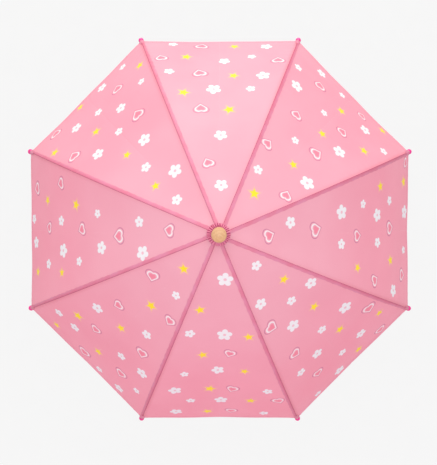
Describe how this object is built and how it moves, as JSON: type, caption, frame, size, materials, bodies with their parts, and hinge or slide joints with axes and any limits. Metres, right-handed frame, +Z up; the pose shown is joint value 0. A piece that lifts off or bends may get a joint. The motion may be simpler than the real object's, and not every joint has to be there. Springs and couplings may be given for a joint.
{
  "type": "children's stick umbrella",
  "caption": "Open child's stick umbrella: domed patterned canopy on hinged ribs and stretchers, sliding runner with catches, wooden ferrule and crook handle.",
  "frame": {"origin": "on the shaft axis, at the middle of the straight hand grip", "axes": "+Z up along the shaft to the ferrule, +X towards the open side of the crook and the catches, +Y to the top of the picture"},
  "size_m": [0.6566, 0.6566, 0.6165],
  "materials": {
    "canopy_fabric": "satin",
    "ruffle_fabric": "satin",
    "strap_fabric": "satin",
    "ferrule_wood": "satin",
    "handle_wood": "satin",
    "hub_plastic": "gloss",
    "tip_plastic": "gloss",
    "shaft_steel": "polished",
    "frame_steel": "satin",
    "catch_steel": "satin"
  },
  "bodies": {
    "shaft": {"shaft_tube": "shaft_steel", "ferrule": "ferrule_wood", "top_notch": "hub_plastic", "notch_wire": "frame_steel", "crown_ruffle": "ruffle_fabric", "handle": "handle_wood", "handle_band": "shaft_steel", "runner_stop": "frame_steel", "catch_pins": "frame_steel"},
    "runner": {"runner": "hub_plastic", "runner_wire": "frame_steel"},
    "upper_catch": {"upper_catch": "catch_steel"},
    "lower_catch": {"lower_catch": "catch_steel"},
    "rib_1": {"rib_1": "frame_steel", "rib_tip_1": "tip_plastic"},
    "rib_2": {"rib_2": "frame_steel", "rib_tip_2": "tip_plastic"},
    "rib_3": {"rib_3": "frame_steel", "rib_tip_3": "tip_plastic"},
    "rib_4": {"rib_4": "frame_steel", "rib_tip_4": "tip_plastic"},
    "rib_5": {"rib_5": "frame_steel", "rib_tip_5": "tip_plastic"},
    "rib_6": {"rib_6": "frame_steel", "rib_tip_6": "tip_plastic"},
    "rib_7": {"rib_7": "frame_steel", "rib_tip_7": "tip_plastic"},
    "rib_8": {"rib_8": "frame_steel", "rib_tip_8": "tip_plastic"},
    "stretcher_1": {"stretcher_1": "frame_steel"},
    "stretcher_2": {"stretcher_2": "frame_steel"},
    "stretcher_3": {"stretcher_3": "frame_steel"},
    "stretcher_4": {"stretcher_4": "frame_steel"},
    "stretcher_5": {"stretcher_5": "frame_steel"},
    "stretcher_6": {"stretcher_6": "frame_steel"},
    "stretcher_7": {"stretcher_7": "frame_steel"},
    "stretcher_8": {"stretcher_8": "frame_steel"},
    "panel_1_left": {"panel_1_left": "canopy_fabric"},
    "panel_1_right": {"panel_1_right": "canopy_fabric"},
    "panel_2_left": {"panel_2_left": "canopy_fabric"},
    "panel_2_right": {"panel_2_right": "canopy_fabric"},
    "panel_3_left": {"panel_3_left": "canopy_fabric"},
    "panel_3_right": {"panel_3_right": "canopy_fabric"},
    "panel_4_left": {"panel_4_left": "canopy_fabric"},
    "panel_4_right": {"panel_4_right": "canopy_fabric"},
    "panel_5_left": {"panel_5_left": "canopy_fabric"},
    "panel_5_right": {"panel_5_right": "canopy_fabric"},
    "panel_6_left": {"panel_6_left": "canopy_fabric"},
    "panel_6_right": {"panel_6_right": "canopy_fabric"},
    "panel_7_left": {"panel_7_left": "canopy_fabric"},
    "panel_7_right": {"panel_7_right": "canopy_fabric"},
    "panel_8_left": {"panel_8_left": "canopy_fabric"},
    "panel_8_right": {"panel_8_right": "canopy_fabric"},
    "tie_strap": {"tie_strap": "strap_fabric"}
  },
  "joints": [
    {"name": "canopy_fold", "type": "hinge", "parent": "shaft", "child": "rib_1", "pos_m": [0.00785, 0.00325, 0.505], "axis": [-0.3827, 0.9239, 0], "range_deg": [0, 50], "deforming": ["panel_1_left", "panel_1_right", "panel_2_left", "panel_2_right", "panel_3_left", "panel_3_right", "panel_4_left", "panel_4_right", "panel_5_left", "panel_5_right", "panel_6_left", "panel_6_right", "panel_7_left", "panel_7_right", "panel_8_left", "panel_8_right"]},
    {"name": "rib_2_fold", "type": "hinge", "parent": "shaft", "child": "rib_2", "pos_m": [0.00325, 0.00785, 0.505], "axis": [-0.9239, 0.3827, 0], "range_deg": [0, 50]},
    {"name": "rib_3_fold", "type": "hinge", "parent": "shaft", "child": "rib_3", "pos_m": [-0.00325, 0.00785, 0.505], "axis": [-0.9239, -0.3827, 0], "range_deg": [0, 50]},
    {"name": "rib_4_fold", "type": "hinge", "parent": "shaft", "child": "rib_4", "pos_m": [-0.00785, 0.00325, 0.505], "axis": [-0.3827, -0.9239, 0], "range_deg": [0, 50]},
    {"name": "rib_5_fold", "type": "hinge", "parent": "shaft", "child": "rib_5", "pos_m": [-0.00785, -0.00325, 0.505], "axis": [0.3827, -0.9239, 0], "range_deg": [0, 50]},
    {"name": "rib_6_fold", "type": "hinge", "parent": "shaft", "child": "rib_6", "pos_m": [-0.00325, -0.00785, 0.505], "axis": [0.9239, -0.3827, 0], "range_deg": [0, 50]},
    {"name": "rib_7_fold", "type": "hinge", "parent": "shaft", "child": "rib_7", "pos_m": [0.00325, -0.00785, 0.505], "axis": [0.9239, 0.3827, 0], "range_deg": [0, 50]},
    {"name": "rib_8_fold", "type": "hinge", "parent": "shaft", "child": "rib_8", "pos_m": [0.00785, -0.00325, 0.505], "axis": [0.3827, 0.9239, 0], "range_deg": [0, 50]},
    {"name": "stretcher_1_pivot", "type": "hinge", "parent": "rib_1", "child": "stretcher_1", "pos_m": [0.17734, 0.07346, 0.4135], "axis": [-0.3827, 0.9239, 0], "range_deg": [-100, 0]},
    {"name": "stretcher_2_pivot", "type": "hinge", "parent": "rib_2", "child": "stretcher_2", "pos_m": [0.07346, 0.17734, 0.4135], "axis": [-0.9239, 0.3827, 0], "range_deg": [-100, 0]},
    {"name": "stretcher_3_pivot", "type": "hinge", "parent": "rib_3", "child": "stretcher_3", "pos_m": [-0.07346, 0.17734, 0.4135], "axis": [-0.9239, -0.3827, 0], "range_deg": [-100, 0]},
    {"name": "stretcher_4_pivot", "type": "hinge", "parent": "rib_4", "child": "stretcher_4", "pos_m": [-0.17734, 0.07346, 0.4135], "axis": [-0.3827, -0.9239, 0], "range_deg": [-100, 0]},
    {"name": "stretcher_5_pivot", "type": "hinge", "parent": "rib_5", "child": "stretcher_5", "pos_m": [-0.17734, -0.07346, 0.4135], "axis": [0.3827, -0.9239, 0], "range_deg": [-100, 0]},
    {"name": "stretcher_6_pivot", "type": "hinge", "parent": "rib_6", "child": "stretcher_6", "pos_m": [-0.07346, -0.17734, 0.4135], "axis": [0.9239, -0.3827, 0], "range_deg": [-100, 0]},
    {"name": "stretcher_7_pivot", "type": "hinge", "parent": "rib_7", "child": "stretcher_7", "pos_m": [0.07346, -0.17734, 0.4135], "axis": [0.9239, 0.3827, 0], "range_deg": [-100, 0]},
    {"name": "stretcher_8_pivot", "type": "hinge", "parent": "rib_8", "child": "stretcher_8", "pos_m": [0.17734, -0.07346, 0.4135], "axis": [0.3827, 0.9239, 0], "range_deg": [-100, 0]},
    {"name": "runner_pivot", "type": "hinge", "parent": "stretcher_1", "child": "runner", "pos_m": [0.00785, 0.00325, 0.322], "axis": [-0.3827, 0.9239, 0], "range_deg": [0, 50]},
    {"name": "panel_1_left_fold", "type": "hinge", "parent": "rib_1", "child": "panel_1_left", "pos_m": [0.00263, -0.00011, 0.50215], "axis": [-0.0395, -0.9806, -0.192], "range_deg": [0, 25.04]},
    {"name": "panel_1_right_fold", "type": "hinge", "parent": "rib_2", "child": "panel_1_right", "pos_m": [-0.00011, 0.00263, 0.50215], "axis": [0.9806, 0.0395, 0.192], "range_deg": [0, 25.04]},
    {"name": "panel_2_left_fold", "type": "hinge", "parent": "rib_2", "child": "panel_2_left", "pos_m": [0.00194, 0.00179, 0.50215], "axis": [0.6655, -0.7213, -0.192], "range_deg": [0, 25.04]},
    {"name": "panel_2_right_fold", "type": "hinge", "parent": "rib_3", "child": "panel_2_right", "pos_m": [-0.00194, 0.00179, 0.50215], "axis": [0.6655, 0.7213, 0.192], "range_deg": [0, 25.04]},
    {"name": "panel_3_left_fold", "type": "hinge", "parent": "rib_3", "child": "panel_3_left", "pos_m": [0.00011, 0.00263, 0.50215], "axis": [0.9806, -0.0395, -0.192], "range_deg": [0, 25.04]},
    {"name": "panel_3_right_fold", "type": "hinge", "parent": "rib_4", "child": "panel_3_right", "pos_m": [-0.00263, -0.00011, 0.50215], "axis": [-0.0395, 0.9806, 0.192], "range_deg": [0, 25.04]},
    {"name": "panel_4_left_fold", "type": "hinge", "parent": "rib_4", "child": "panel_4_left", "pos_m": [-0.00179, 0.00194, 0.50215], "axis": [0.7213, 0.6655, -0.192], "range_deg": [0, 25.04]},
    {"name": "panel_4_right_fold", "type": "hinge", "parent": "rib_5", "child": "panel_4_right", "pos_m": [-0.00179, -0.00194, 0.50215], "axis": [-0.7213, 0.6655, 0.192], "range_deg": [0, 25.04]},
    {"name": "panel_5_left_fold", "type": "hinge", "parent": "rib_5", "child": "panel_5_left", "pos_m": [-0.00263, 0.00011, 0.50215], "axis": [0.0395, 0.9806, -0.192], "range_deg": [0, 25.04]},
    {"name": "panel_5_right_fold", "type": "hinge", "parent": "rib_6", "child": "panel_5_right", "pos_m": [0.00011, -0.00263, 0.50215], "axis": [-0.9806, -0.0395, 0.192], "range_deg": [0, 25.04]},
    {"name": "panel_6_left_fold", "type": "hinge", "parent": "rib_6", "child": "panel_6_left", "pos_m": [-0.00194, -0.00179, 0.50215], "axis": [-0.6655, 0.7213, -0.192], "range_deg": [0, 25.04]},
    {"name": "panel_6_right_fold", "type": "hinge", "parent": "rib_7", "child": "panel_6_right", "pos_m": [0.00194, -0.00179, 0.50215], "axis": [-0.6655, -0.7213, 0.192], "range_deg": [0, 25.04]},
    {"name": "panel_7_left_fold", "type": "hinge", "parent": "rib_7", "child": "panel_7_left", "pos_m": [-0.00011, -0.00263, 0.50215], "axis": [-0.9806, 0.0395, -0.192], "range_deg": [0, 25.04]},
    {"name": "panel_7_right_fold", "type": "hinge", "parent": "rib_8", "child": "panel_7_right", "pos_m": [0.00263, 0.00011, 0.50215], "axis": [0.0395, -0.9806, 0.192], "range_deg": [0, 25.04]},
    {"name": "panel_8_left_fold", "type": "hinge", "parent": "rib_8", "child": "panel_8_left", "pos_m": [0.00179, -0.00194, 0.50215], "axis": [-0.7213, -0.6655, -0.192], "range_deg": [0, 25.04]},
    {"name": "panel_8_right_fold", "type": "hinge", "parent": "rib_1", "child": "panel_8_right", "pos_m": [0.00179, 0.00194, 0.50215], "axis": [0.7213, -0.6655, 0.192], "range_deg": [0, 25.04]},
    {"name": "strap_hang", "type": "hinge", "parent": "panel_3_left", "child": "tie_strap", "pos_m": [-0.22434, 0.22434, 0.23265], "axis": [-0.7071, -0.7071, 0], "range_deg": [-29.82, 0]},
    {"name": "upper_catch_press", "type": "hinge", "parent": "shaft", "child": "upper_catch", "pos_m": [0, 0, 0.2566], "axis": [0, -1, 0], "range_deg": [0, 9], "stiffness_Nm_per_rad": 0.4, "springref_deg": -5.73},
    {"name": "lower_catch_press", "type": "hinge", "parent": "shaft", "child": "lower_catch", "pos_m": [0, 0, 0.091], "axis": [0, 1, 0], "range_deg": [0, 9], "stiffness_Nm_per_rad": 0.4, "springref_deg": -5.73}
  ],
  "couplings": [
    {"joint": "rib_2_fold", "follows": "canopy_fold", "ratio": 1},
    {"joint": "rib_3_fold", "follows": "canopy_fold", "ratio": 1},
    {"joint": "rib_4_fold", "follows": "canopy_fold", "ratio": 1},
    {"joint": "rib_5_fold", "follows": "canopy_fold", "ratio": 1},
    {"joint": "rib_6_fold", "follows": "canopy_fold", "ratio": 1},
    {"joint": "rib_7_fold", "follows": "canopy_fold", "ratio": 1},
    {"joint": "rib_8_fold", "follows": "canopy_fold", "ratio": 1},
    {"joint": "stretcher_1_pivot", "follows": "canopy_fold", "ratio": -2},
    {"joint": "stretcher_2_pivot", "follows": "canopy_fold", "ratio": -2},
    {"joint": "stretcher_3_pivot", "follows": "canopy_fold", "ratio": -2},
    {"joint": "stretcher_4_pivot", "follows": "canopy_fold", "ratio": -2},
    {"joint": "stretcher_5_pivot", "follows": "canopy_fold", "ratio": -2},
    {"joint": "stretcher_6_pivot", "follows": "canopy_fold", "ratio": -2},
    {"joint": "stretcher_7_pivot", "follows": "canopy_fold", "ratio": -2},
    {"joint": "stretcher_8_pivot", "follows": "canopy_fold", "ratio": -2},
    {"joint": "runner_pivot", "follows": "canopy_fold", "ratio": 1},
    {"joint": "panel_1_left_fold", "follows": "canopy_fold", "ratio": 0.50054},
    {"joint": "panel_1_right_fold", "follows": "canopy_fold", "ratio": 0.50054},
    {"joint": "panel_2_left_fold", "follows": "canopy_fold", "ratio": 0.50054},
    {"joint": "panel_2_right_fold", "follows": "canopy_fold", "ratio": 0.50054},
    {"joint": "panel_3_left_fold", "follows": "canopy_fold", "ratio": 0.50054},
    {"joint": "panel_3_right_fold", "follows": "canopy_fold", "ratio": 0.50054},
    {"joint": "panel_4_left_fold", "follows": "canopy_fold", "ratio": 0.50054},
    {"joint": "panel_4_right_fold", "follows": "canopy_fold", "ratio": 0.50054},
    {"joint": "panel_5_left_fold", "follows": "canopy_fold", "ratio": 0.50054},
    {"joint": "panel_5_right_fold", "follows": "canopy_fold", "ratio": 0.50054},
    {"joint": "panel_6_left_fold", "follows": "canopy_fold", "ratio": 0.50054},
    {"joint": "panel_6_right_fold", "follows": "canopy_fold", "ratio": 0.50054},
    {"joint": "panel_7_left_fold", "follows": "canopy_fold", "ratio": 0.50054},
    {"joint": "panel_7_right_fold", "follows": "canopy_fold", "ratio": 0.50054},
    {"joint": "panel_8_left_fold", "follows": "canopy_fold", "ratio": 0.50054},
    {"joint": "panel_8_right_fold", "follows": "canopy_fold", "ratio": 0.50054},
    {"joint": "strap_hang", "follows": "canopy_fold", "ratio": -0.59622}
  ]
}
